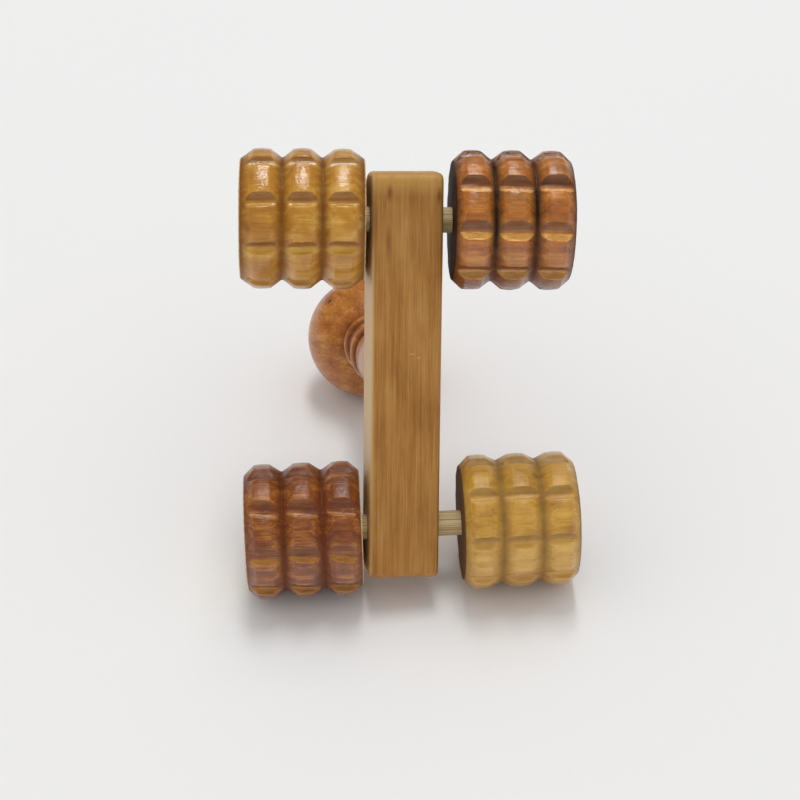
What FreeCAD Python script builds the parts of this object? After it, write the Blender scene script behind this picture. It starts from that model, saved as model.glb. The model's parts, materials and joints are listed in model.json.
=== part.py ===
import FreeCAD, Part
import math
import os

# A hand-held wooden foot massage roller, resting on its two lower rollers and the knob of its handle.
#
# A square wooden bar carries two round axles. Each axle passes loosely through the bar and has one
# ribbed, notched roller glued on each end. A turned handle with a round knob is glued square into
# the back of the bar.
#
# Every piece is first drawn in the bar's own frame: the origin is the middle of the bar, X runs
# along the axles, +Y points out of the back of the bar along the handle, and Z runs up the bar.
# The finished pieces are then tipped into the resting pose, with the floor at Z = 0.

os.makedirs("parts", exist_ok=True)

Vector = FreeCAD.Vector
Rotation = FreeCAD.Rotation

# ---------------------------------------------------------------- driving dimensions (mm, degrees)

bar_width = 22.0
bar_depth = 22.5
bar_length = 127.5
bar_edge_radius = 1.6
bar_front_end_radius = 3.0
bar_back_end_radius = 8.0

axle_spacing = 97.5
axle_radius = 4.0
bore_clearance = 0.08
roller_clearance = 0.05
bore_turn = 4.4             # both bores are turned this far round the bar's length
lower_bore_skew = 2.7       # and the lower one also slopes this much, seen from the front

upper_roller_radius = 21.8
lower_roller_radius = 21.5
rib_pitch = 12.4
rib_count = 3
crown_width = 5.2           # the flat top of a rib
shoulder_drop = 3.3         # how much smaller a roller's end faces are than its ribs
notch_count = 9

knob_radius = 22.0
knob_distance = 96.0        # from the middle of the bar to the centre of the knob
neck_radius = 9.4
bead_radius = 11.2
bead_half_width = 2.6
bead_root_radius = 9.4
knob_bead_distance = 73.2   # the bead beside the knob
grip_bead_distance = 52.0   # the bead that ends the grip
cove_radius = 7.6
grip_radius = 10.8
grip_root_radius = 9.0
tenon_radius = 6.0
tenon_length = 14.0
socket_end_gap = 0.5
socket_side_gap = 0.05

# Each roller is turned and notched by hand, so the four differ a little. "inner" is how far its inner
# face is from the middle of the bar at rest, "groove" is how deep its V grooves are, and "first_notch"
# is how far above level one notch faces, seen from the front of the resting tool.
rollers = {
    "upper_left_roller": dict(
        side=-1, inner=12.2, length=38.6, radius=upper_roller_radius, groove=3.0,
        notch_width=5.2, notch_depth=1.3, first_notch=4.0),
    "upper_right_roller": dict(
        side=1, inner=14.9, length=36.8, radius=upper_roller_radius, groove=3.0,
        notch_width=6.4, notch_depth=1.9, first_notch=20.0),
    "lower_left_roller": dict(
        side=-1, inner=12.5, length=36.8, radius=lower_roller_radius, groove=2.7,
        notch_width=5.6, notch_depth=1.7, first_notch=14.0),
    "lower_right_roller": dict(
        side=1, inner=19.3, length=36.5, radius=lower_roller_radius, groove=2.1,
        notch_width=5.4, notch_depth=1.3, first_notch=19.5),
}

# ---------------------------------------------------------------- the resting pose

half_spacing = axle_spacing / 2
half_depth = bar_depth / 2

skew = math.radians(lower_bore_skew)
turn = math.radians(bore_turn)

# The bar leans back until the knob touches the floor: the knob's centre is then one knob radius up.
reach_up = half_spacing * math.cos(skew) + knob_distance * math.sin(skew) * math.sin(turn)
reach_back = knob_distance * math.cos(turn)
lean = math.degrees(
    math.acos((knob_radius - lower_roller_radius) / math.hypot(reach_up, reach_back))
    - math.atan2(reach_back, reach_up))

# The lower axle lies level on its two rollers, so the bar stands out of square with it and with the floor.
upper_centre = Vector(0, 0, half_spacing)
lower_centre = Vector(0, 0, -half_spacing)
upper_bore = Rotation(Vector(0, 0, 1), -bore_turn)
lower_bore = Rotation(Vector(0, 0, 1), -bore_turn) * Rotation(Vector(0, 1, 0), -lower_bore_skew)
tilt = Rotation(Vector(1, 0, 0), -lean) * lower_bore.inverted()


def outer_face(name):
    """How far a roller's outer face is from the middle of the bar, along its axle."""
    return rollers[name]["inner"] + rollers[name]["length"]


def resting_origin():
    """Where the middle of the bar goes, so that the tool's footprint is centred on the origin."""
    knob = tilt.multVec(Vector(0, knob_distance, 0) - lower_centre)
    front = -lower_roller_radius
    back = knob.y + knob_radius
    left = -outer_face("lower_left_roller")
    # The upper axle slopes down to the right, so the top of its roller's end stands out furthest.
    end_radius = upper_roller_radius - shoulder_drop
    right = outer_face("upper_right_roller") * math.cos(skew) + (axle_spacing + end_radius) * math.sin(skew)
    lower_axle = Vector(-(left + right) / 2, -(front + back) / 2, lower_roller_radius)
    return lower_axle - tilt.multVec(lower_centre)


resting_place = FreeCAD.Placement(resting_origin(), tilt)


# ---------------------------------------------------------------- helpers

def cylinder(radius, length, start, direction):
    """A solid cylinder from start, length long, in the given direction."""
    return Part.makeCylinder(radius, length, start, direction)


def line(a, b):
    return Part.LineSegment(a, b).toShape()


def arc(a, middle, b):
    return Part.Arc(a, middle, b).toShape()


def turned(edges, axis):
    """The solid that a closed outline sweeps in one turn about an axis through the origin."""
    face = Part.Face(Part.Wire(edges))
    return face.revolve(Vector(0, 0, 0), axis, 360)


def outline(points):
    """Straight edges joining the points in order, and back to the first."""
    return [line(a, b) for a, b in zip(points, points[1:] + points[:1])]


# ---------------------------------------------------------------- the bar

def cross_edges(shape, y):
    """The edges that run across the bar at its two ends, on the face at y."""
    return [
        edge for edge in shape.Edges
        if edge.BoundBox.XLength > bar_width - 0.001
        and abs(edge.CenterOfMass.y - y) < 0.001
        and abs(edge.CenterOfMass.z) > bar_length / 2 - 0.001
    ]


def make_bar():
    """A square bar, its ends rounder at the back, with two cross bores and a blind socket."""
    corner = Vector(-bar_width / 2, -half_depth, -bar_length / 2)
    blank = Part.makeBox(bar_width, bar_depth, bar_length, corner)
    blank = blank.makeFillet(bar_back_end_radius, cross_edges(blank, half_depth))
    blank = blank.makeFillet(bar_front_end_radius, cross_edges(blank, -half_depth))
    rim_edges = [edge for edge in blank.Edges if edge.BoundBox.XLength < 0.001]
    blank = blank.makeFillet(bar_edge_radius, rim_edges)

    reach = bar_width * 2
    bore_radius = axle_radius + bore_clearance
    for centre, bore in ((upper_centre, upper_bore), (lower_centre, lower_bore)):
        along = bore.multVec(Vector(1, 0, 0))
        blank = blank.cut(cylinder(bore_radius, 2 * reach, centre - along * reach, along))

    socket_depth = tenon_length + socket_end_gap
    socket_floor = Vector(0, half_depth - socket_depth, 0)
    socket = cylinder(tenon_radius + socket_side_gap, socket_depth + 1, socket_floor, Vector(0, 1, 0))
    return blank.cut(socket)


# ---------------------------------------------------------------- the axles and rollers

def roller_span(name):
    """Where a roller starts and ends along its axle, measured from the middle of the bar."""
    side = rollers[name]["side"]
    inner = side * rollers[name]["inner"]
    outer = side * outer_face(name)
    return min(inner, outer), max(inner, outer)


def make_axle(left_roller, right_roller):
    """A plain dowel, flush with the outer faces of its two rollers."""
    left_end = roller_span(left_roller)[0]
    right_end = roller_span(right_roller)[1]
    return cylinder(axle_radius, right_end - left_end, Vector(left_end, 0, 0), Vector(1, 0, 0))


def roller_outline(length, radius, groove):
    """Half of a roller's section: three flat-topped ribs with V grooves between them."""
    bore_radius = axle_radius + roller_clearance
    end_radius = radius - shoulder_drop
    points = [Vector(-length / 2, bore_radius, 0), Vector(-length / 2, end_radius, 0)]
    for rib in range(rib_count):
        middle = (rib - (rib_count - 1) / 2) * rib_pitch
        if rib > 0:
            points.append(Vector(middle - rib_pitch / 2, radius - groove, 0))
        points.append(Vector(middle - crown_width / 2, radius, 0))
        points.append(Vector(middle + crown_width / 2, radius, 0))
    points.append(Vector(length / 2, end_radius, 0))
    points.append(Vector(length / 2, bore_radius, 0))
    return outline(points)


def scoop(roller, angle):
    """The round-bottomed gouge cut that makes one row of notches, parallel to the axle."""
    half_width = roller["notch_width"] / 2
    floor_radius = roller["radius"] - roller["notch_depth"]
    sunk = math.sqrt(roller["radius"] ** 2 - half_width ** 2) - floor_radius
    gouge_radius = (half_width ** 2 + sunk ** 2) / (2 * sunk)
    facing = Vector(0, -math.cos(math.radians(angle)), math.sin(math.radians(angle)))
    start = facing * (floor_radius + gouge_radius) - Vector(roller["length"], 0, 0)
    return cylinder(gouge_radius, 2 * roller["length"], start, Vector(1, 0, 0))


def make_roller(name):
    roller = rollers[name]
    body = turned(roller_outline(roller["length"], roller["radius"], roller["groove"]), Vector(1, 0, 0))
    for notch in range(notch_count):
        angle = roller["first_notch"] - lean + notch * 360 / notch_count
        body = body.cut(scoop(roller, angle))
    body.translate(Vector(sum(roller_span(name)) / 2, 0, 0))
    return body


def on_axle(shape, centre, bore):
    """Moves a piece drawn along X through the origin into a bore of the bar."""
    shape.Placement = FreeCAD.Placement(centre, bore).multiply(shape.Placement)
    return shape


# ---------------------------------------------------------------- the handle

def make_handle():
    """One turned piece: a tenon, the grip, two beads with a cove between them, and the knob."""

    def at(distance, radius):
        return Vector(radius, distance, 0)

    tenon_end = half_depth - tenon_length
    grip_end = grip_bead_distance - bead_half_width
    grip_middle = (half_depth + grip_end) / 2
    cove_start = grip_bead_distance + bead_half_width
    cove_end = knob_bead_distance - bead_half_width
    cove_middle = (cove_start + cove_end) / 2
    bead_end = knob_bead_distance + bead_half_width
    knob_start = knob_distance - math.sqrt(knob_radius ** 2 - neck_radius ** 2)
    knob_end = knob_distance + knob_radius
    edges = [
        line(at(tenon_end, 0), at(tenon_end, tenon_radius)),
        line(at(tenon_end, tenon_radius), at(half_depth, tenon_radius)),
        line(at(half_depth, tenon_radius), at(half_depth, grip_root_radius)),
        arc(at(half_depth, grip_root_radius), at(grip_middle, grip_radius), at(grip_end, bead_root_radius)),
        arc(at(grip_end, bead_root_radius), at(grip_bead_distance, bead_radius),
            at(cove_start, bead_root_radius)),
        arc(at(cove_start, bead_root_radius), at(cove_middle, cove_radius), at(cove_end, bead_root_radius)),
        arc(at(cove_end, bead_root_radius), at(knob_bead_distance, bead_radius),
            at(bead_end, bead_root_radius)),
        line(at(bead_end, bead_root_radius), at(knob_start, neck_radius)),
        arc(at(knob_start, neck_radius), at(knob_distance, knob_radius), at(knob_end, 0)),
        line(at(knob_end, 0), at(tenon_end, 0)),
    ]
    return turned(edges, Vector(0, 1, 0))


# ---------------------------------------------------------------- build, place and write

pieces = {
    "bar": make_bar(),
    "handle": make_handle(),
    "upper_axle": on_axle(make_axle("upper_left_roller", "upper_right_roller"), upper_centre, upper_bore),
    "lower_axle": on_axle(make_axle("lower_left_roller", "lower_right_roller"), lower_centre, lower_bore),
}
for name in rollers:
    centre, bore = (upper_centre, upper_bore) if name.startswith("upper") else (lower_centre, lower_bore)
    pieces[name] = on_axle(make_roller(name), centre, bore)

for name, shape in pieces.items():
    shape.Placement = resting_place.multiply(shape.Placement)
    shape.exportStep("parts/" + name + ".step")
    print(name, "valid" if shape.isValid() else "broken", round(shape.Volume / 1000, 2), "cm3")

for name, centre, bore in (("upper", upper_centre, upper_bore), ("lower", lower_centre, lower_bore)):
    along = tilt.multVec(bore.multVec(Vector(1, 0, 0)))
    print(name, "axle centre", resting_place.multVec(centre), "direction", along)
front_face = resting_place.multVec(Vector(0, -half_depth, 0))
print("bar front face", front_face, "faces", tilt.multVec(Vector(0, -1, 0)))
print("lean", lean)
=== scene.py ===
# %% [markdown]
# # A wooden foot massage roller
# A square bar carries two bamboo dowels, and each dowel carries two ribbed, notched rollers. A turned
# handle with a round knob is glued into the back of the bar. This lesson models each piece again with
# the finish of the real tool, round a measured frame that already knows where everything goes.

# %% Load the measured frame
import json
import math
import random

import bmesh
import bpy
from mathutils import Matrix, Vector


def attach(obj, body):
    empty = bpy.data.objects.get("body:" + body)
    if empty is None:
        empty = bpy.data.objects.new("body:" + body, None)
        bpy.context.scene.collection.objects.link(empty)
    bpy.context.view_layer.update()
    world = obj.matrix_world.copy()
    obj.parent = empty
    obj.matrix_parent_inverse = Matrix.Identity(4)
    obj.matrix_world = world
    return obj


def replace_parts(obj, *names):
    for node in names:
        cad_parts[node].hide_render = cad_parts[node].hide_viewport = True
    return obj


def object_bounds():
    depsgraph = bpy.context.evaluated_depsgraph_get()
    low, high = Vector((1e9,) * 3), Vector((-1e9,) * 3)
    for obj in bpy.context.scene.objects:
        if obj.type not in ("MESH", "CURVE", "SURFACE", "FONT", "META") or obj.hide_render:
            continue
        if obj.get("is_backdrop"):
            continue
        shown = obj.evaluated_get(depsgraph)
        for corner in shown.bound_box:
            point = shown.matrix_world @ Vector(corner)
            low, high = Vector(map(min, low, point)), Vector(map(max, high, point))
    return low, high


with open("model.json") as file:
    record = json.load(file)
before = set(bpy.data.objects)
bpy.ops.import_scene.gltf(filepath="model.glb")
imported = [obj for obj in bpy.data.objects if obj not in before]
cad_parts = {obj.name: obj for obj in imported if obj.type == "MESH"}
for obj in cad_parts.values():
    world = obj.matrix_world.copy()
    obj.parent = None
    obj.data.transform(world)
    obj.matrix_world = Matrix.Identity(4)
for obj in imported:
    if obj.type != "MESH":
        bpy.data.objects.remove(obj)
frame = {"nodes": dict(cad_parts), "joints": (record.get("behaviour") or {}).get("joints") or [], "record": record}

cad_low, cad_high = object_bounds()
MM = 0.001
print("frame of", len(frame["nodes"]), "pieces,", [round(x / MM, 1) for x in cad_high - cad_low], "mm")

# %% [markdown]
# ## Where each piece lives
# It is easiest to model a piece upright and centred, and to tip it into place at the end. So each
# piece gets its own axes here. The bar's are worked out from its front face and from the two axles:
# X runs across it, Y out of its back along the handle, and Z up it. An axle's X runs along the axle.

# %% The axes of the bar and of the two axles
joints = {joint["name"]: joint for joint in frame["joints"]}
upper_point = Vector(joints["upper_rollers_spin"]["pos_m"])
lower_point = Vector(joints["lower_rollers_spin"]["pos_m"])


def axes(origin, x, y, z):
    """A matrix that takes a piece from its own axes to its place in the frame."""
    turn = Matrix((x, y, z)).transposed().to_4x4()
    return Matrix.Translation(origin) @ turn


bar_up = (upper_point - lower_point).normalized()
bar_across = bar_up.cross(Vector(frame["record"]["mounts"][0]["axis"])).normalized()
bar_place = axes((upper_point + lower_point) / 2, bar_across, bar_up.cross(bar_across), bar_up)


def axle_place(joint, point):
    """An axle's own axes: X along it, and Z as near to straight up as it goes."""
    along = Vector(joint["axis"]).normalized()
    up = (Vector((0, 0, 1)) - along * along.z).normalized()
    return axes(point, along, up.cross(along), up)


upper_place = axle_place(joints["upper_rollers_spin"], upper_point)
lower_place = axle_place(joints["lower_rollers_spin"], lower_point)
print("bar leans back", round(math.degrees(math.acos(bar_up.z)), 1), "degrees")

# %% [markdown]
# The frame's own pieces are measured along those axes, so that the new pieces take their sizes from
# them and nothing has to be fitted by eye.

# %% Measure the frame's pieces along their own axes


def extent(name, place):
    """The lowest and highest corner of a frame piece, measured along the given axes."""
    back = place.inverted()
    points = [back @ v.co for v in frame["nodes"][name].data.vertices]
    low = Vector([min(p[i] for p in points) for i in range(3)])
    high = Vector([max(p[i] for p in points) for i in range(3)])
    return low, high


bar_low, bar_high = extent("bar", bar_place)
handle_low, handle_high = extent("handle", bar_place)
print("bar", [round(x / MM, 1) for x in bar_high - bar_low], "mm")

# %% [markdown]
# ## Tools of the trade
# Every operator acts on whatever is selected, so these helpers select one thing at a time: one
# object, or the edges of a mesh that pass a test of their place.

# %% Helpers for picking and for moving pieces


def pick(piece):
    """Makes one object the selected and active one."""
    bpy.ops.object.select_all(action="DESELECT")
    piece.select_set(True)
    bpy.context.view_layer.objects.active = piece


def name_it(name):
    piece = bpy.context.object
    piece.name = piece.data.name = name
    return piece


def select_edges(test):
    """In edit mode, selects the edges whose two ends pass a test."""
    bpy.ops.mesh.select_mode(type="EDGE")
    bpy.ops.mesh.select_all(action="DESELECT")
    mesh = bmesh.from_edit_mesh(bpy.context.edit_object.data)
    for edge in mesh.edges:
        if test(edge.verts[0].co, edge.verts[1].co):
            edge.select_set(True)
    bmesh.update_edit_mesh(bpy.context.edit_object.data)


def put(piece, place=None):
    """Takes a piece from its own axes to its place, and keeps the place in its mesh."""
    pick(piece)
    if place:
        piece.matrix_world = place
    bpy.ops.object.transform_apply(location=True, rotation=True, scale=True)
    return piece


def apply(piece, kind, **settings):
    """Adds a modifier with these settings and applies it."""
    modifier = piece.modifiers.new(kind.title(), kind)
    for key, value in settings.items():
        setattr(modifier, key, value)
    pick(piece)
    bpy.ops.object.modifier_apply(modifier=modifier.name)
    return piece


def cut(piece, cutter):
    """Cuts one object out of another, and throws the cutter away."""
    apply(piece, "BOOLEAN", operation="DIFFERENCE", solver="EXACT", object=cutter)
    bpy.data.objects.remove(cutter)
    return piece


def join(pieces, name):
    pick(pieces[0])
    for piece in pieces:
        piece.select_set(True)
    bpy.ops.object.join()
    return name_it(name)


print("helpers: pick, name_it, select_edges, put, apply, cut and join")

# %% [markdown]
# Most of the tool is turned on a lathe. A turned piece is one outline spun round an axis: the outline
# is drawn by extruding a single corner from point to point, and Spin sweeps it. The doubled corners
# where the sweep closes are merged, and the faces are then made to point outwards.

# %% A lathe


def lathe(name, outline, axis, out, steps):
    """Turns an outline of (distance along the axis, radius) points, in mm, into a solid."""
    points = [(axis * along + out * radius) * MM for along, radius in outline]
    bpy.ops.object.select_all(action="DESELECT")
    bpy.ops.mesh.primitive_plane_add(size=MM, location=(0, 0, 0))
    piece = name_it(name)
    bpy.ops.object.mode_set(mode="EDIT")
    bpy.ops.mesh.merge(type="CENTER")
    bpy.ops.mesh.select_mode(type="VERT")
    bpy.ops.mesh.select_all(action="SELECT")
    bpy.ops.transform.translate(value=points[0])
    for a, b in zip(points, points[1:]):
        bpy.ops.mesh.extrude_vertices_move(TRANSFORM_OT_translate={"value": b - a})
    bpy.ops.mesh.select_all(action="SELECT")
    bpy.ops.mesh.spin(steps=steps, angle=math.tau, center=(0, 0, 0), axis=axis)
    bpy.ops.mesh.select_all(action="SELECT")
    bpy.ops.mesh.remove_doubles(threshold=MM * 0.001)
    bpy.ops.mesh.normals_make_consistent(inside=False)
    bpy.ops.object.mode_set(mode="OBJECT")
    return piece


def bow(start, through, end, steps):
    """Points on the circle through three (along, radius) points, from the first to the last."""
    (ax, ay), (bx, by), (cx, cy) = start, through, end
    d = 2 * (ax * (by - cy) + bx * (cy - ay) + cx * (ay - by))
    sa, sb, sc = ax * ax + ay * ay, bx * bx + by * by, cx * cx + cy * cy
    ox = (sa * (by - cy) + sb * (cy - ay) + sc * (ay - by)) / d
    oy = (sa * (cx - bx) + sb * (ax - cx) + sc * (bx - ax)) / d
    radius = math.hypot(ax - ox, ay - oy)
    first, middle, last = (math.atan2(y - oy, x - ox) for x, y in (start, through, end))
    turn = (last - first) % math.tau
    if (middle - first) % math.tau > turn:
        turn -= math.tau
    angles = [first + turn * i / steps for i in range(steps + 1)]
    return [(ox + radius * math.cos(a), oy + radius * math.sin(a)) for a in angles]


X, Y, Z = Vector((1, 0, 0)), Vector((0, 1, 0)), Vector((0, 0, 1))
print("lathe ready")

# %% [markdown]
# Hand work is never dead true. A voxel remesh gives a solid an even skin of small faces, a little
# smoothing takes the machine edge off it, and a cloud texture then pushes it in and out by about a
# tenth of a millimetre at most. Those small swells are what breaks up the shine of a varnished piece.

# %% Helpers for a worn, hand-made skin
STILL_GREY = 0.62  # a cloud of this grey leaves the skin where it is


def soften(piece, voxel, rounds):
    """Gives a solid an even skin of small faces, and takes the edge off."""
    apply(piece, "REMESH", mode="VOXEL", voxel_size=voxel * MM, adaptivity=0)
    return apply(piece, "SMOOTH", factor=0.5, iterations=rounds)


def swell(piece, size, depth, stretch=None, group=""):
    """Pushes the skin, or one vertex group of it, in and out by part of depth, and further in than
    out, in swells of about size, both in mm."""
    clouds = bpy.data.textures.new(piece.name + "_swell", "CLOUDS")
    clouds.noise_scale = size * MM
    clouds.noise_depth = 1
    if stretch:
        put(piece, Matrix.Diagonal((*stretch, 1)))
    settings = dict(texture=clouds, texture_coords="LOCAL", direction="NORMAL", vertex_group=group)
    apply(piece, "DISPLACE", strength=depth * MM, mid_level=STILL_GREY, **settings)
    if stretch:
        put(piece, Matrix.Diagonal((*stretch, 1)).inverted())
    return piece


def shade(piece, angle):
    pick(piece)
    bpy.ops.object.shade_smooth_by_angle(angle=math.radians(angle))
    return piece


print("skin helpers: soften, swell and shade")

# %% [markdown]
# ## The rollers
# Each roller is turned to three flat-topped ribs with V grooves between them, and each rib is then
# notched by hand with a gouge, nine times round. The four were made by eye, so each has its own
# length, groove depth, gouge and first notch. `first` is how far above level one notch faces, from
# the front. `above` and `below` stretch the gouge to each side of its deepest line, which can give a
# notch a steep wall above and a long slope below, and `slant` turns it out of line with the axle.
# `uneven` is how far the hand wandered.

# %% What the four rollers share, and how they differ
PITCH = 12.4  # from one rib to the next, in mm, as are the four below
CROWN = 5.2  # how wide the top of a rib is
DOME = 0.22  # how far the crown falls to its edges
SHOULDER = 3.3  # how far it falls to an end face
BORE = 4.08  # the radius of the hole
NOTCHES = 9
rollers = {
    "upper_left_roller": dict(
        body="upper_rollers", place=upper_place, groove=3.0, first=4.0, slot="honey_varnish",
        width=5.0, depth=1.9, above=0.55, below=1.1, slant=1.0, uneven=0.8, seed=11),
    "upper_right_roller": dict(
        body="upper_rollers", place=upper_place, groove=3.0, first=20.0, slot="chestnut_varnish",
        width=6.4, depth=2.3, above=0.5, below=1.2, slant=-1.5, uneven=1.0, seed=12),
    "lower_left_roller": dict(
        body="lower_rollers", place=lower_place, groove=2.7, first=14.0, slot="amber_varnish",
        width=5.6, depth=2.0, above=0.35, below=1.7, slant=-8.0, uneven=1.2, seed=13),
    "lower_right_roller": dict(
        body="lower_rollers", place=lower_place, groove=2.1, first=19.5, slot="straw_varnish",
        width=5.2, depth=1.8, above=0.6, below=1.1, slant=2.5, uneven=1.6, seed=14),
}
for name, roller in rollers.items():
    low, high = extent(name, roller["place"])
    roller["length"] = (high.x - low.x) / MM
    roller["middle"] = (high.x + low.x) / 2
    back = roller["place"].inverted()
    roller["radius"] = max((back @ v.co).yz.length for v in frame["nodes"][name].data.vertices) / MM
    print(name, round(roller["length"], 1), "mm long,", round(2 * roller["radius"], 1), "mm across")

# %% [markdown]
# The outline of a roller is half of its section. The crowns of the ribs are very slightly domed, as a
# turned surface comes out under sandpaper, and the ends fall away at the shoulders.

# %% A roller's outline


def ribbed_outline(roller):
    half, radius = roller["length"] / 2, roller["radius"]
    points = [(-half, BORE), (-half, radius - SHOULDER)]
    for middle in (-PITCH, 0, PITCH):
        if middle > -PITCH:
            points.append((middle - PITCH / 2, radius - roller["groove"]))
        left, right = (middle - CROWN / 2, radius - DOME), (middle + CROWN / 2, radius - DOME)
        points += bow(left, (middle, radius), right, 6)
    return points + [(half, radius - SHOULDER), (half, BORE), (-half, BORE)]


print("an outline has", len(ribbed_outline(rollers["upper_left_roller"])), "points")

# %% [markdown]
# The gouge is a short round bar laid across a rib. Its size follows from the notch it has to leave: a
# given width at the rim and a given depth. One gouge is made for a roller, and copied to each notch
# with a little unevenness in its angle and depth, and all of them are cut out at once.

# %% The gouge


def gouge_size(roller):
    """The radius of a gouge that leaves this roller's notch, in mm."""
    half_width = roller["width"] / 2
    rim = math.sqrt(roller["radius"] ** 2 - half_width ** 2)
    sunk = rim - (roller["radius"] - roller["depth"])
    return (half_width ** 2 + sunk ** 2) / (2 * sunk)


def on_side(side):
    """A test for the edges on one side (1 or -1) of the gouge's middle plane, or reaching it."""
    return lambda a, b: (a.y + b.y) * side > 0 and min(a.y * side, b.y * side) > -MM * 0.001


def make_gouge(roller):
    """A round bar along X, its two sides stretched apart, with its end edges rounded over."""
    length = (PITCH - 0.4) * MM
    bpy.ops.object.select_all(action="DESELECT")
    bpy.ops.mesh.primitive_cylinder_add(
        vertices=40, radius=gouge_size(roller) * MM, depth=length, rotation=(0, math.pi / 2, 0))
    gouge = name_it("gouge")
    put(gouge)
    bpy.ops.object.mode_set(mode="EDIT")
    for side, reach in ((-1, roller["above"]), (1, roller["below"])):
        select_edges(on_side(side))
        bpy.ops.transform.resize(value=(1, reach, 1), center_override=(0, 0, 0))
    select_edges(lambda a, b: abs(a.x - b.x) < MM * 0.01 and abs(a.x) > length / 2 - MM)
    bpy.ops.mesh.bevel(offset=0.5 * MM, segments=3)
    bpy.ops.object.mode_set(mode="OBJECT")
    return gouge


for name, roller in rollers.items():
    print(name, "gouge", round(gouge_size(roller), 1), "mm in radius")

# %% The gouge's copies
TURN_WANDER = 1  # degrees, mm and degrees that the hand strays by, times a roller's `uneven`
DEPTH_WANDER = 0.12
SLANT_WANDER = 2


def notch_places(roller):
    """Where the gouge goes for each notch of each rib, in the roller's own axes."""
    hand = random.Random(roller["seed"])
    uneven = roller["uneven"]
    step = math.tau / NOTCHES
    for rib in (-PITCH, 0, PITCH):
        for notch in range(NOTCHES):
            turn = math.radians(roller["first"] + hand.uniform(-TURN_WANDER, TURN_WANDER) * uneven)
            depth = roller["depth"] + hand.uniform(-DEPTH_WANDER, DEPTH_WANDER) * uneven
            slant = math.radians(roller["slant"] + hand.uniform(-SLANT_WANDER, SLANT_WANDER) * uneven)
            facing = Matrix.Rotation(math.pi / 2 - (turn + notch * step), 4, "X")
            out = (roller["radius"] - depth + gouge_size(roller)) * MM
            yield facing @ Matrix.Translation((rib * MM, 0, out)) @ Matrix.Rotation(slant, 4, "Z")


def make_notch_cutter(roller):
    gouge = make_gouge(roller)
    copies = []
    for place in notch_places(roller):
        copy = gouge.copy()
        copy.data = gouge.data.copy()
        bpy.context.collection.objects.link(copy)
        copies.append(put(copy, place))
    bpy.data.objects.remove(gouge)
    return join(copies, "notch_cutter")


print("notches to cut:", sum(len(list(notch_places(roller))) for roller in rollers.values()))

# %% [markdown]
# A varnished roller is darker in its grooves, where stain and varnish gather and where shade is also
# painted in. Each notch is cut with one stroke, and its walls get painted light: painted shade on the
# wall above it and a pale, speckled painted highlight on the wall below. The mesh itself knows which is
# which, so each corner is marked with how far down a groove it lies, which way a notch's wall tilts
# there, and whether it is on an end face. The finish reads those marks later.

# %% Mark a roller's skin
NOTCH_FLOOR = 5  # no notch goes this far below the crowns, in mm
END_RIM = 0.6  # nearer than this to an end face, a slope is the end's own
END_START = 0.45  # where the mark of an end begins, and how soon it is full
END_FADE = 0.3


def mark(piece, name, values):
    layer = piece.data.attributes.new(name, "FLOAT", "POINT")
    layer.data.foreach_set("value", values)


def clamped(value):
    return min(1, max(0, value))


def mark_roller(piece, roller):
    half = roller["length"] / 2
    groove, wall, end = [], [], []
    for corner in piece.data.vertices:
        x, y, z = corner.co / MM
        radius = math.hypot(y, z)
        from_rib = min(abs(x - middle) for middle in (-PITCH, 0, PITCH))
        groove.append(clamped((from_rib - CROWN / 2) / (PITCH / 2 - CROWN / 2)))
        tilt = (corner.normal.y * z - corner.normal.z * y) / radius
        notched = radius > roller["radius"] - NOTCH_FLOOR and abs(x) < half - END_RIM
        wall.append(tilt if notched else 0)
        end.append(clamped((abs(x) - half + END_START) / END_FADE))
    mark(piece, "groove", groove)
    mark(piece, "wall", wall)
    mark(piece, "end", end)


print("marks: groove, wall and end")

# %% Make the four rollers


def make_roller(name, roller):
    outline = ribbed_outline(roller)
    piece = lathe(name + "_turned", outline, X, Z, 180)
    cut(piece, make_notch_cutter(roller))
    soften(piece, 0.35, 1)
    swell(piece, 7, 0.22)
    swell(piece, 1.8, 0.09)
    mark_roller(piece, roller)
    put(piece, roller["place"] @ Matrix.Translation((roller["middle"], 0, 0)))
    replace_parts(shade(piece, 60), name)
    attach(piece, roller["body"])
    return piece


turned = {name: make_roller(name, roller) for name, roller in rollers.items()}
for name, piece in turned.items():
    print(name, len(piece.data.polygons), "faces")

# %% [markdown]
# ## The bar
# The bar is a planed stick of hardwood. Its ends are rounded over, much more at the back than at the
# front, and its long edges are eased. The bevels go on in that order, because each one runs into the
# next. A few edge chips are pared away, the skin is softened, and last the dowel holes and the
# handle's socket are drilled.

# %% Bevel the bar
bar_size = bar_high - bar_low
bpy.ops.object.select_all(action="DESELECT")
bpy.ops.mesh.primitive_cube_add(size=1, location=(bar_high + bar_low) / 2)
bar = name_it("bar_shaped")
bar.scale = bar_size
put(bar)
half_x, half_y, half_z = bar_size / 2


def end_edge(side):
    """A test for the edges across the bar's ends, on its back (side 1) or front (side -1)."""
    def test(a, b):
        on_end = all(p.y * side > half_y * 0.99 and abs(p.z) > half_z * 0.99 for p in (a, b))
        return abs(a.x - b.x) > half_x and on_end
    return test


bpy.ops.object.mode_set(mode="EDIT")
select_edges(end_edge(1))
bpy.ops.mesh.bevel(offset=8 * MM, segments=14)
select_edges(end_edge(-1))
bpy.ops.mesh.bevel(offset=3 * MM, segments=8)
select_edges(lambda a, b: abs(a.x - b.x) < MM * 0.01)
bpy.ops.mesh.bevel(offset=1.6 * MM, segments=5)
bpy.ops.object.mode_set(mode="OBJECT")
print("bar bevelled,", len(bar.data.polygons), "faces")

# %% [markdown]
# A chip is a flat little flake out of an edge, so the chisel that cuts it is a squashed ball.

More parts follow.
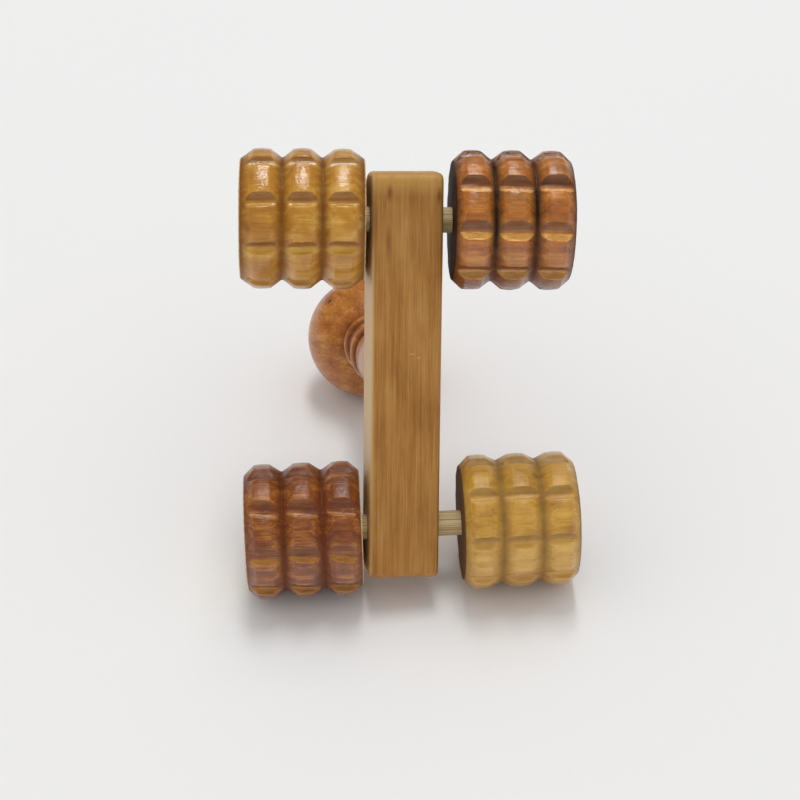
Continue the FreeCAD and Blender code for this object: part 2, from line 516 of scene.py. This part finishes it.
# %% Chip the edges
chips = [  # across, out of the back, up, in mm, and the flake's length up the bar
    (11.3, -11.4, 42.0, 3.2), (11.3, -11.5, 37.5, 2.4), (11.4, -11.5, -5.0, 2.0),
    (-11.4, -11.5, -47.0, 2.6), (11.4, 11.5, 12.0, 3.0), (-11.4, 11.6, 30.0, 2.2),
]
FLAKE = 0.9
flakes = []
for x, y, z, length in chips:
    bpy.ops.object.select_all(action="DESELECT")
    bpy.ops.mesh.primitive_ico_sphere_add(subdivisions=2, radius=1, location=(x * MM, y * MM, z * MM))
    flake = name_it("flake")
    flake.scale = (FLAKE * MM, FLAKE * MM, length / 2 * MM)
    flakes.append(put(flake))
cut(bar, join(flakes, "flakes"))
soften(bar, 0.42, 2)
swell(bar, 16, 0.16, stretch=(1, 1, 0.35))
print("bar skinned,", len(bar.data.polygons), "faces")

# %% Drill the bar
HOLE = 4.08
SOCKET = 6.05
drills = []
for place in (upper_place, lower_place):
    bit = lathe("bit", [(-30, 0), (-30, HOLE), (30, HOLE), (30, 0)], X, Z, 64)
    drills.append(put(bit, bar_place.inverted() @ place))
socket_floor = handle_low.y / MM - 0.5
bit = lathe("bit", [(socket_floor, 0), (socket_floor, SOCKET), (20, SOCKET), (20, 0)], Y, X, 64)
drills.append(bit)
cut(bar, join(drills, "drills"))
put(bar, bar_place)
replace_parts(shade(bar, 50), "bar")
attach(bar, "bar_and_handle")
print("bar drilled,", len(bar.data.polygons), "faces")

# %% [markdown]
# ## The handle
# The handle is one turned piece: a tenon for the socket, a slightly swelling grip, two beads with a
# hollow cove between them, a short neck and the round knob. The distances are measured from the
# middle of the bar. The swell that follows keeps the shine from looking moulded.

# %% Turn the handle
KNOB = 22.0
KNOB_AT = 96.0
NECK = 9.4
BEAD_ROOT = 9.4
BEAD_TOP = 11.2
BEADS = (52.0, 73.2)
BEAD_HALF = 2.6
COVE = 7.6
GRIP_START = 9.0
GRIP_MIDDLE = 10.8
TENON = 6.0
EASE = 0.4
tenon_end = handle_low.y / MM
back_face = bar_high.y / MM
knob_start = KNOB_AT - math.sqrt(KNOB ** 2 - NECK ** 2)
handle_outline = [(tenon_end, 0), (tenon_end, TENON - EASE), (tenon_end + EASE, TENON), (back_face, TENON)]
grip_end, cove_start = BEADS[0] - BEAD_HALF, BEADS[0] + BEAD_HALF
cove_end, bead_end = BEADS[1] - BEAD_HALF, BEADS[1] + BEAD_HALF
grip_middle = ((back_face + grip_end) / 2, GRIP_MIDDLE)
handle_outline += bow((back_face, GRIP_START), grip_middle, (grip_end, BEAD_ROOT), 24)
handle_outline += bow((grip_end, BEAD_ROOT), (BEADS[0], BEAD_TOP), (cove_start, BEAD_ROOT), 16)[1:]
handle_outline += bow((cove_start, BEAD_ROOT), (sum(BEADS) / 2, COVE), (cove_end, BEAD_ROOT), 16)[1:]
handle_outline += bow((cove_end, BEAD_ROOT), (BEADS[1], BEAD_TOP), (bead_end, BEAD_ROOT), 16)[1:]
handle_outline += bow((knob_start, NECK), (KNOB_AT, KNOB), (KNOB_AT + KNOB, 0), 56)
handle = lathe("handle_turned", handle_outline, Y, X, 144)
swell(handle, 14, 0.16)
put(handle, bar_place)
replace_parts(shade(handle, 35), "handle")
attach(handle, "bar_and_handle")
print("handle", len(handle.data.polygons), "faces")

# %% [markdown]
# ## The dowels
# The axles are plain bamboo dowels. Up close bamboo is a bundle of straight fibres, so the surface has
# fine ridges along it: swells that are stretched far along X. The ends are sawn and barely eased.

# %% Turn the two dowels
DOWEL = 3.99
SAWN = 3.6  # the radius of a sawn end, and how far along it is eased
EASED = 0.35
STEPS = 60
SMOOTH_END = 0.3  # the ridges stop this far from an end, so that the dowel keeps its length
dowels = {}
for name, place in (("upper_axle", upper_place), ("lower_axle", lower_place)):
    low, high = extent(name, place)
    start, end = low.x / MM, high.x / MM
    inner = (end - start - 2 * EASED) / STEPS
    outline = [(start, 0), (start, SAWN)]
    outline += [(start + EASED + inner * i, DOWEL) for i in range(STEPS + 1)]
    outline += [(end, SAWN), (end, 0)]
    piece = lathe(name + "_dowel", outline, X, Z, 96)
    ridged = [v.index for v in piece.data.vertices if start + SMOOTH_END < v.co.x / MM < end - SMOOTH_END]
    piece.vertex_groups.new(name="sides").add(ridged, 1, "REPLACE")
    swell(piece, 0.7, 0.07, stretch=(0.02, 1, 1), group="sides")
    put(piece, place)
    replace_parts(shade(piece, 35), name)
    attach(piece, name)
    dowels[name] = piece
    print(name, round(end - start, 1), "mm long,", len(piece.data.polygons), "faces")

# %% [markdown]
# ## Finishes
# A material is a small graph of nodes. These helpers add a node, join it up and hand back its result,
# so that a finish reads like a recipe. Colours are given as the numbers a paint chart would have.

# %% Helpers for building a finish


def paint(red, green, blue):
    """A colour from 0 to 255 a channel, as the shader wants it."""
    def linear(c):
        c /= 255
        return c / 12.92 if c <= 0.04045 else ((c + 0.055) / 1.055) ** 2.4
    return (linear(red), linear(green), linear(blue), 1)


class Recipe:
    """One material, built node by node."""

    def __init__(self, name):
        self.material = bpy.data.materials.new(name)
        self.material.use_nodes = True
        self.tree = self.material.node_tree
        self.shader = self.tree.nodes["Principled BSDF"]

    def node(self, kind, inputs, output=0, **settings):
        made = self.tree.nodes.new("ShaderNode" + kind)
        for key, value in settings.items():
            setattr(made, key, value)
        for key, value in inputs.items():
            self.feed(made.inputs[key], value)
        return made.outputs[output]

    def feed(self, socket, value):
        if isinstance(value, bpy.types.NodeSocket):
            self.tree.links.new(value, socket)
        else:
            socket.default_value = value

    def own_axes(self, place):
        """Coordinates along the piece's own axes, in metres."""
        where = self.node("TexCoord", {}, "Object")
        turn = {"Vector": where, "Location": place.to_translation(), "Rotation": place.to_euler()}
        return self.node("Mapping", turn, vector_type="TEXTURE")

    def scaled(self, vector, scale, location=(0, 0, 0)):
        return self.node("Mapping", {"Vector": vector, "Scale": scale, "Location": location})

    def noise(self, vector, scale, detail, roughness):
        return self.node("TexNoise", {
            "Vector": vector, "Scale": scale, "Detail": detail, "Roughness": roughness})

    def math(self, operation, a, b=0.0):
        return self.node("Math", {0: a, 1: b}, operation=operation)

    def mixed(self, *parts):
        """The sum of some patterns, each times its own weight."""
        total = self.math("MULTIPLY", *parts[0])
        for pattern, weight in parts[1:]:
            total = self.math("ADD", total, self.math("MULTIPLY", pattern, weight))
        return total

    def remap(self, value, low, high, to_low=0.0, to_high=1.0):
        return self.node("MapRange", {
            "Value": value, "From Min": low, "From Max": high, "To Min": to_low, "To Max": to_high})

    def ramp(self, value, stops):
        made = self.node("ValToRGB", {"Fac": value})
        ramp = made.node.color_ramp
        ramp.elements[0].position, ramp.elements[0].color = stops[0]
        ramp.elements[1].position, ramp.elements[1].color = stops[-1]
        for position, colour in stops[1:-1]:
            ramp.elements.new(position).color = colour
        return made

    def blend(self, amount, a, b):
        return self.node("Mix", {0: amount, 6: a, 7: b}, 2, data_type="RGBA")

    def attribute(self, name):
        return self.node("Attribute", {}, "Fac", attribute_name=name)

    def rings(self, vector, pith, spacing, direction, wobble):
        """Growth rings round a pith that lies off to one side, in metres."""
        moved = self.node("Mapping", {"Vector": vector, "Location": pith})
        return self.node("TexWave", {
            "Vector": moved, "Scale": math.tau / (20 * spacing), "Distortion": wobble,
            "Detail": 2.0, "Detail Scale": 0.35, "Detail Roughness": 0.55},
            "Fac", wave_type="RINGS", rings_direction=direction, wave_profile="SAW")

    def spot(self, vector, centre, size, soft):
        """1 inside a squashed ball round a place, falling to 0 at its rim."""
        inside = self.node("Mapping", {"Vector": vector, "Location": centre, "Scale": size},
                           vector_type="TEXTURE")
        length = self.node("VectorMath", {0: inside}, "Value", operation="LENGTH")
        return self.remap(length, soft, 1.0, 1.0, 0.0)

    def bump(self, height, strength, depth):
        return self.node("Bump", {"Height": height, "Strength": strength, "Distance": depth})

    def finish(self, piece, **inputs):
        """Sets the shader's sockets and gives the material to a piece."""
        for key, value in inputs.items():
            self.feed(self.shader.inputs[key.replace("_", " ")], value)
        piece.data.materials.clear()
        piece.data.materials.append(self.material)
        print(self.material.name, "is", len(self.tree.nodes), "nodes")


# %% [markdown]
# ## Varnish on the rollers
# The rollers are cut from sticks whose fibres run along the axle, so the figure of the wood is fine
# lines and broader streaks along X. Each has its own stain: honey, chestnut, amber and straw. A stain
# is three tones from dark to light, a fourth where it took more (`patch`), and one each for the
# grooves (gathered stain and painted shade), for the painted highlight on one wall of a notch (`cut`)
# and for an end face, where the dark ends of chestnut and straw are partly painted shade. `fibre` is
# how strongly the lines show. `painted_glint`, `painted_wall_shade`, `groove_stain_and_shade` and
# `underside_shade` are how far the painted highlight and painted shade on the two walls of a notch,
# the stain and painted shade in the grooves and the painted shade on the underside change tone.
# `rough`, `coat`, `wave` and `marks` shape the gloss.

# %% The four stains
# In each stain the groove tone is gathered stain and painted shade, the cut tone is a painted highlight, and the
# dark end tones of chestnut and straw are partly painted shade
stains = {
    "honey_varnish": dict(
        dark=paint(156, 94, 16), mid=paint(198, 138, 36), light=paint(244, 208, 106),
        patch=paint(188, 112, 22), groove=paint(104, 50, 10), cut=paint(224, 176, 70),
        end=paint(242, 216, 164), fibre=0.25, painted_glint=0.5, painted_wall_shade=0.55, groove_stain_and_shade=0.85, underside_shade=0.4,
        rough=0.40, coat=0.10, wave=0.6, marks=0.15),
    "chestnut_varnish": dict(
        dark=paint(98, 42, 6), mid=paint(186, 108, 32), light=paint(234, 164, 72),
        patch=paint(90, 34, 4), groove=paint(28, 10, 4), cut=paint(250, 190, 92),
        end=paint(62, 32, 16), fibre=0.35, painted_glint=0.95, painted_wall_shade=0.6, groove_stain_and_shade=1.0, underside_shade=0.8,
        rough=0.38, coat=0.12, wave=0.8, marks=0.3),
    "amber_varnish": dict(
        dark=paint(84, 34, 2), mid=paint(142, 72, 12), light=paint(222, 150, 58),
        patch=paint(112, 46, 4), groove=paint(96, 40, 10), cut=paint(206, 146, 54),
        end=paint(246, 224, 186), fibre=0.55, painted_glint=0.6, painted_wall_shade=0.5, groove_stain_and_shade=0.9, underside_shade=0.35,
        rough=0.38, coat=0.09, wave=1.0, marks=0.2),
    "straw_varnish": dict(
        dark=paint(160, 104, 26), mid=paint(208, 158, 60), light=paint(230, 192, 98),
        patch=paint(176, 92, 16), groove=paint(118, 86, 46), cut=paint(226, 178, 88),
        end=paint(104, 72, 40), fibre=0.4, painted_glint=0.5, painted_wall_shade=0.45, groove_stain_and_shade=0.75, underside_shade=0.3,
        rough=0.38, coat=0.10, wave=0.9, marks=0.9),
}
print("stains:", ", ".join(stains))

# %% [markdown]
# The recipe starts with the wood as it was stained: clouds, streaks and fine lines picked out in the
# three tones, and patches where the stain took more. The patterns are shifted along for each roller,
# so that no two show the same figure.

# %% The stained wood
SHIFT = 0.37


def stained_wood(recipe, stain_and_shade, lines, streaks, clouds):
    figure = recipe.mixed((clouds, 0.40), (streaks, 0.35), (lines, stain_and_shade["fibre"] * 0.5))
    middle = 0.375 + stain_and_shade["fibre"] * 0.25
    figure = recipe.remap(figure, middle - 0.15, middle + 0.15)
    colour = recipe.ramp(figure, [(0.0, stain_and_shade["dark"]), (0.5, stain_and_shade["mid"]), (1.0, stain_and_shade["light"])])
    return recipe.blend(recipe.remap(clouds, 0.52, 0.70, 0.0, 0.5), colour, stain_and_shade["patch"])


print("three tones and patches")

# %% [markdown]
# The marks in the mesh then say where to go on: a pale, speckled painted highlight on one wall of each
# notch, painted shade on the other, gathered stain and painted shade in the grooves and, from the
# height, painted shade on the underside. An end face shows the wood cut across, as growth rings and pores.

# %% The notches, the grooves and the ends


def notched(recipe, stain_and_shade, colour, wall, fibres):
    # painted highlight: pale speckles on one wall of each notch; painted shade darkens the other wall
    painted_glint = recipe.math("MULTIPLY", recipe.remap(wall, 0.06, 0.26, 0.0, stain_and_shade["painted_glint"]),
                       recipe.remap(fibres, 0.40, 0.58, 0.45, 1.0))
    colour = recipe.blend(painted_glint, colour, stain_and_shade["cut"])
    return recipe.blend(recipe.remap(wall, -0.06, -0.34, 0.0, stain_and_shade["painted_wall_shade"]), colour, stain_and_shade["groove"])


def stain_and_painted_shade(recipe, stain_and_shade, colour, groove, clouds, height):
    # gathered stain and painted shade: darker towards the bottom of each groove
    groove_stain_and_shade_mask = recipe.math("MULTIPLY", recipe.remap(groove, 0.25, 0.95), stain_and_shade["groove_stain_and_shade"])
    groove_stain_and_shade_mask = recipe.math("MULTIPLY", groove_stain_and_shade_mask, recipe.remap(clouds, 0.3, 0.6, 0.72, 1.0))
    colour = recipe.blend(groove_stain_and_shade_mask, colour, stain_and_shade["groove"])
    # painted shade: darker towards the underside
    below = recipe.remap(height, 2 * MM, -15 * MM, 0.0, stain_and_shade["underside_shade"])
    return recipe.blend(below, colour, stain_and_shade["dark"])


def end_grain(recipe, stain_and_shade, own, seed):
    rings = recipe.rings(own, (0, 0.024, 0.010 - 0.0015 * seed), 2.4 * MM, "X", 3.0)
    pores = recipe.noise(recipe.scaled(own, (1, 1, 1), (0, 0, seed * SHIFT)), 1500.0, 3.0, 0.7)
    grain = recipe.mixed((rings, 0.45), (pores, 0.8))
    return recipe.blend(recipe.remap(grain, 0.35, 0.85, 0.0, 0.4), stain_and_shade["end"], stain_and_shade["groove"])


print("walls, grooves, underside and end grain")

# %% [markdown]
# Over it all lies a thick clear coat. Its own fine waves break up the gleam, while the bump under it
# lifts the fibres and the turning marks. The coat is thin in the grooves and all but missing on the
# ends.

# %% Varnish the rollers


def varnish(name, roller):
    stain_and_shade = stains[roller["slot"]]
    recipe = Recipe(roller["slot"])
    own = recipe.own_axes(roller["place"] @ Matrix.Translation((roller["middle"], 0, 0)))
    shift = roller["seed"] * SHIFT
    groove, wall, end = (recipe.attribute(mark) for mark in ("groove", "wall", "end"))
    height = recipe.node("SeparateXYZ", {"Vector": own}, "Z")
    lines = recipe.noise(recipe.scaled(own, (70, 1900, 1900), (shift, shift, 0)), 1.0, 3.0, 0.6)
    streaks = recipe.noise(recipe.scaled(own, (22, 330, 330), (0, shift, shift)), 1.0, 3.0, 0.55)
    clouds = recipe.noise(recipe.scaled(own, (1, 1, 1), (shift, 0, shift)), 95.0, 3.0, 0.6)
    fibres = recipe.noise(recipe.scaled(own, (420, 3200, 3200), (0, shift, 0)), 1.0, 2.0, 0.6)
    turning = recipe.noise(recipe.scaled(own, (2400, 40, 40), (0, 0, shift)), 1.0, 2.0, 0.5)
    waves = recipe.noise(own, 620.0, 2.0, 0.6)
    colour = stained_wood(recipe, stain_and_shade, lines, streaks, clouds)
    colour = notched(recipe, stain_and_shade, colour, wall, fibres)
    colour = stain_and_painted_shade(recipe, stain_and_shade, colour, groove, clouds, height)
    colour = recipe.blend(end, colour, end_grain(recipe, stain_and_shade, own, roller["seed"]))
    relief = recipe.mixed((lines, 0.6), (fibres, 0.6), (turning, stain_and_shade["marks"]))
    wavy = recipe.mixed((waves, 1.0), (lines, 0.8), (turning, stain_and_shade["marks"] * 0.6))
    dull = recipe.math("MAXIMUM", end, recipe.math("MULTIPLY", groove, 0.9))
    satin = recipe.remap(lines, 0.3, 0.7, stain_and_shade["rough"], 0.6)
    recipe.finish(
        turned[name], Base_Color=colour, IOR=1.45, Specular_IOR_Level=0.2,
        Roughness=recipe.math("MAXIMUM", satin, recipe.math("MULTIPLY", end, 0.75)),
        Coat_Weight=recipe.remap(dull, 0.0, 1.0, 1.0, 0.02), Coat_IOR=1.7, Coat_Roughness=stain_and_shade["coat"],
        Normal=recipe.bump(relief, 0.7, 0.00014), Coat_Normal=recipe.bump(wavy, stain_and_shade["wave"], 0.0003))


for name, roller in rollers.items():
    varnish(name, roller)

# %% [markdown]
# ## Satin on the bar
# The bar has a thin satin finish over close vertical grain. Its fibres run along Z. Near the top the
# stain took unevenly, leaving reddish streaks; the dark patch on the left side, beside the upper left
# roller, is that roller's painted shadow as well as stain. The top is painted paler as a painted
# highlight, and the left edge pale cream as a painted reflection.
# Near the middle of the front are two fine pale scratches.

# %% Finish the bar
recipe = Recipe("bar_wood")
own = recipe.own_axes(bar_place)
lines = recipe.noise(recipe.scaled(own, (2600, 2600, 60)), 1.0, 3.0, 0.6)
streaks = recipe.noise(recipe.scaled(own, (620, 620, 14), (3, 1, 0)), 1.0, 3.0, 0.6)
clouds = recipe.noise(recipe.scaled(own, (1, 1, 0.4)), 110.0, 3.0, 0.6)
figure = recipe.mixed((clouds, 0.35), (streaks, 0.35), (lines, 0.30))
colour = recipe.ramp(recipe.remap(figure, 0.34, 0.66), [
    (0.0, paint(140, 86, 30)), (0.5, paint(172, 119, 54)), (1.0, paint(194, 146, 78))])
across = recipe.node("SeparateXYZ", {"Vector": own}, "X")
height = recipe.node("SeparateXYZ", {"Vector": own}, "Z")
# painted highlight: the top of the bar is made paler where it faces the light
colour = recipe.blend(recipe.remap(height, 0.0565, 0.0600, 0.0, 0.5), colour, paint(206, 162, 84))
# painted reflection: the left edge is made pale cream
colour = recipe.blend(recipe.remap(across, -0.0100, -0.0109, 0.0, 0.6), colour, paint(242, 212, 158))
# dark reddish stain near the top; the last patch, on the left side beside the upper left roller, is also that
# roller's painted shadow
for centre, size, strength in (
        ((-5.8, -11.2, 57.5), (1.3, 3.0, 3.4), 0.70), ((-6.0, -11.2, 42.3), (1.2, 3.0, 6.6), 0.62),
        ((9.5, -11.2, 56.7), (0.9, 3.0, 3.2), 0.80), ((-2.6, -11.2, 49.0), (0.8, 3.0, 11.0), 0.30),
        ((4.6, -11.2, 44.0), (0.8, 3.0, 9.0), 0.22), ((-11.2, -2.0, 50.0), (2.4, 14.0, 13.0), 0.90)):
    stain_and_shade = recipe.spot(own, Vector(centre) * MM, Vector(size) * MM, 0.2)
    stain_and_shade = recipe.math("MULTIPLY", stain_and_shade, recipe.remap(lines, 0.3, 0.6, 0.5 * strength, strength))
    colour = recipe.blend(stain_and_shade, colour, paint(104, 48, 22))
for centre, size in (((1.6, -11.2, 8.0), (1.3, 3.0, 0.22)), ((3.8, -11.2, 6.8), (1.0, 3.0, 0.20))):
    scratch = recipe.spot(own, Vector(centre) * MM, Vector(size) * MM, 0.3)
    colour = recipe.blend(recipe.math("MULTIPLY", scratch, 0.45), colour, paint(232, 200, 140))
recipe.finish(
    bar, Base_Color=colour, Roughness=recipe.remap(lines, 0.3, 0.7, 0.46, 0.60), IOR=1.45,
    Specular_IOR_Level=0.3, Coat_Weight=0.2, Coat_Roughness=0.26, Coat_IOR=1.5,
    Normal=recipe.bump(recipe.math("ADD", lines, streaks), 0.5, 0.00010))

# %% [markdown]
# ## Gloss on the handle
# The handle is stained orange-brown and well polished. Streaks run along it, with faint growth rings
# under them round a pith that lies off to one side. The cove and the hollows beside the beads are
# darkened with painted shade, and a small dark knot shows on the top of the knob.

# %% Finish the handle
recipe = Recipe("handle_wood")
own = recipe.own_axes(bar_place)
rings = recipe.rings(own, (0.014, 0, 0.034), 3.6 * MM, "Y", 6.0)
lines = recipe.noise(recipe.scaled(own, (1300, 60, 1300)), 1.0, 3.0, 0.6)
streaks = recipe.noise(recipe.scaled(own, (240, 22, 240), (0, 2, 0)), 1.0, 3.0, 0.55)
clouds = recipe.noise(own, 85.0, 3.0, 0.6)
figure = recipe.mixed((rings, 0.06), (streaks, 0.50), (lines, 0.30))
colour = recipe.ramp(recipe.remap(figure, 0.28, 0.60), [
    (0.0, paint(138, 72, 20)), (0.5, paint(182, 112, 38)), (1.0, paint(214, 156, 80))])
colour = recipe.blend(recipe.remap(clouds, 0.48, 0.70, 0.0, 0.5), colour, paint(156, 72, 14))
along = recipe.node("SeparateXYZ", {"Vector": own}, "Y")
# painted shade: the cove and the hollows beside the beads are darkened
for centre, width, strength in (
        (bead_end, 2.2, 0.6), (cove_start, 1.3, 0.7), (sum(BEADS) / 2, 8.0, 0.5), (cove_end, 1.2, 0.7),
        (grip_end, 1.2, 0.7)):
    away = recipe.math("ABSOLUTE", recipe.math("SUBTRACT", along, centre * MM))
    painted_cove_shade = recipe.remap(away, 0.2 * width * MM, width * MM, strength, 0.0)
    colour = recipe.blend(painted_cove_shade, colour, paint(96, 38, 18))
knot_at = Vector((-0.675 * KNOB, KNOB_AT - 0.367 * KNOB, 0.639 * KNOB)) * MM
knot = recipe.spot(own, knot_at, (1.7 * MM, 0.8 * MM, 1.1 * MM), 0.35)
knot = recipe.math("MULTIPLY", knot, recipe.remap(lines, 0.25, 0.5, 0.4, 0.95))
colour = recipe.blend(knot, colour, paint(54, 34, 26))
wavy = recipe.noise(own, 420.0, 1.0, 0.5)
recipe.finish(
    handle, Base_Color=colour, Roughness=recipe.remap(lines, 0.3, 0.7, 0.36, 0.5), IOR=1.45,
    Specular_IOR_Level=0.25, Coat_Weight=0.55, Coat_Roughness=0.14, Coat_IOR=1.5,
    Normal=recipe.bump(lines, 0.3, 0.00008), Coat_Normal=recipe.bump(wavy, 0.3, 0.00010))

# %% [markdown]
# ## Bare bamboo
# The dowels have no varnish: pale straw-coloured bamboo, with thin brown strands along it.

# %% Finish the dowels
for name, place in (("upper_axle", upper_place), ("lower_axle", lower_place)):
    recipe = Recipe("axle_bamboo_" + name.split("_")[0])
    own = recipe.own_axes(place)
    strands = recipe.noise(recipe.scaled(own, (22, 2100, 2100)), 1.0, 2.0, 0.6)
    bands = recipe.noise(recipe.scaled(own, (14, 620, 620), (0, 3, 0)), 1.0, 2.0, 0.5)
    colour = recipe.ramp(recipe.remap(strands, 0.30, 0.70), [
        (0.0, paint(190, 154, 96)), (0.45, paint(242, 218, 162)), (1.0, paint(250, 236, 192))])
    colour = recipe.blend(recipe.remap(bands, 0.50, 0.64, 0.0, 0.4), colour, paint(190, 152, 96))
    recipe.finish(
        dowels[name], Base_Color=colour, Roughness=recipe.remap(strands, 0.3, 0.7, 0.5, 0.68),
        IOR=1.45, Normal=recipe.bump(strands, 0.6, 0.00012))

# %% [markdown]
# ## Floor, light and camera
# The tool stands on a plain pale floor under a soft white sky that is brightest high up in front. One
# softbox hangs over it, a little behind, so that the short shadows fall towards the viewer and the
# crowns of the ribs catch a gleam. A varnish that mirrors a white sky looks milky, so mirrored rays
# find the sky much dimmer than the light it gives.

# %% Lay the floor
bpy.ops.object.select_all(action="DESELECT")
bpy.ops.mesh.primitive_plane_add(size=12, location=(0, 0, 0))
floor = name_it("floor")
recipe = Recipe("floor_paint")
where = recipe.node("TexCoord", {}, "Object")
cloudy = recipe.noise(where, 6.0, 2.0, 0.5)
tones = [(0.0, (0.868, 0.868, 0.872, 1)), (1.0, (0.886, 0.886, 0.888, 1))]
recipe.finish(floor, Base_Color=recipe.ramp(cloudy, tones), Roughness=0.75, Specular_IOR_Level=0.25)
floor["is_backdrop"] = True

# %% Light the sky
AMBIENT = 0.66
BRIGHT_SIDE = Vector((-0.1, -0.6, 0.8)).normalized()
MIRRORED = 0.3
world = bpy.data.worlds.new("studio_sky")
bpy.context.scene.world = world
world.use_nodes = True
nodes, link = world.node_tree.nodes, world.node_tree.links.new
sky = nodes["Background"]
sky.inputs["Color"].default_value = (AMBIENT, AMBIENT * 0.995, AMBIENT * 0.985, 1)
where = nodes.new("ShaderNodeTexCoord")
lean = nodes.new("ShaderNodeVectorMath")
lean.operation = "DOT_PRODUCT"
lean.inputs[1].default_value = BRIGHT_SIDE
link(where.outputs["Generated"], lean.inputs[0])
fade = nodes.new("ShaderNodeMapRange")
for name, value in (("From Min", -0.3), ("From Max", 0.55), ("To Min", 0.7), ("To Max", 1.15)):
    fade.inputs[name].default_value = value
link(lean.outputs["Value"], fade.inputs["Value"])
path = nodes.new("ShaderNodeLightPath")
mirrored = nodes.new("ShaderNodeMapRange")
mirrored.inputs["To Min"].default_value = 1.0
mirrored.inputs["To Max"].default_value = MIRRORED
link(path.outputs["Is Glossy Ray"], mirrored.inputs["Value"])
strength = nodes.new("ShaderNodeMath")
strength.operation = "MULTIPLY"
link(fade.outputs[0], strength.inputs[0])
link(mirrored.outputs[0], strength.inputs[1])
link(strength.outputs[0], sky.inputs["Strength"])
print("sky of", len(nodes), "nodes")

# %% Hang the softbox
AWAY = 3.0
HALF_ACROSS, HALF_DEEP = math.radians(5), math.radians(17)
WATTS = 29.0
tipped = math.radians(15)
towards_light = Vector((0.06, math.sin(tipped), math.cos(tipped))).normalized()
light_up = towards_light.cross(X).normalized()
light_across = light_up.cross(towards_light)
light_at = (cad_low + cad_high) / 2 + towards_light * AWAY
bpy.ops.object.light_add(type="AREA")
softbox = bpy.context.object
softbox.name = "softbox"
softbox.matrix_world = axes(light_at, light_across, light_up, towards_light)
softbox.data.shape = "RECTANGLE"
softbox.data.size = 2 * AWAY * math.tan(HALF_ACROSS)
softbox.data.size_y = 2 * AWAY * math.tan(HALF_DEEP)
softbox.data.energy = WATTS
print("softbox", round(softbox.data.size, 2), "by", round(softbox.data.size_y, 2), "m")

# %% Set up the camera
CAMERA_AWAY = 0.55
LENS = 81.42
azimuth, elevation, roll = (math.radians(x) for x in (-3.225, 36.09, -0.617))
back = Vector((
    math.sin(azimuth) * math.cos(elevation), -math.cos(azimuth) * math.cos(elevation), math.sin(elevation)))
level = Vector((math.cos(azimuth), math.sin(azimuth), 0))
upright = back.cross(level)
right = level * math.cos(roll) + upright * math.sin(roll)
up = upright * math.cos(roll) - level * math.sin(roll)
aim = bar_place.to_translation() + Vector((-1.92, -22.0, 6.14)) * MM
bpy.ops.object.camera_add()
camera = bpy.context.object
camera.matrix_world = axes(aim + back * CAMERA_AWAY, right, up, back)
camera.data.sensor_width = 36
camera.data.lens = LENS
camera.data.clip_start = 0.01
camera.data.clip_end = 50
bpy.context.scene.camera = camera
bpy.context.scene.view_settings.view_transform = "Standard"
print("camera at", [round(x, 3) for x in camera.location])

# %% [markdown]
# ## Finish
# The new pieces must fill the same room as the frame they stand for, so both boxes are worked out and their sizes
# printed.

# %% Work out both boxes and finish
low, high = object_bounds()
{"cad": [list(cad_low), list(cad_high)], "visual": [list(low), list(high)]}
print("frame", [round(x / MM, 2) for x in cad_high - cad_low], "mm")
print("model", [round(x / MM, 2) for x in high - low], "mm")
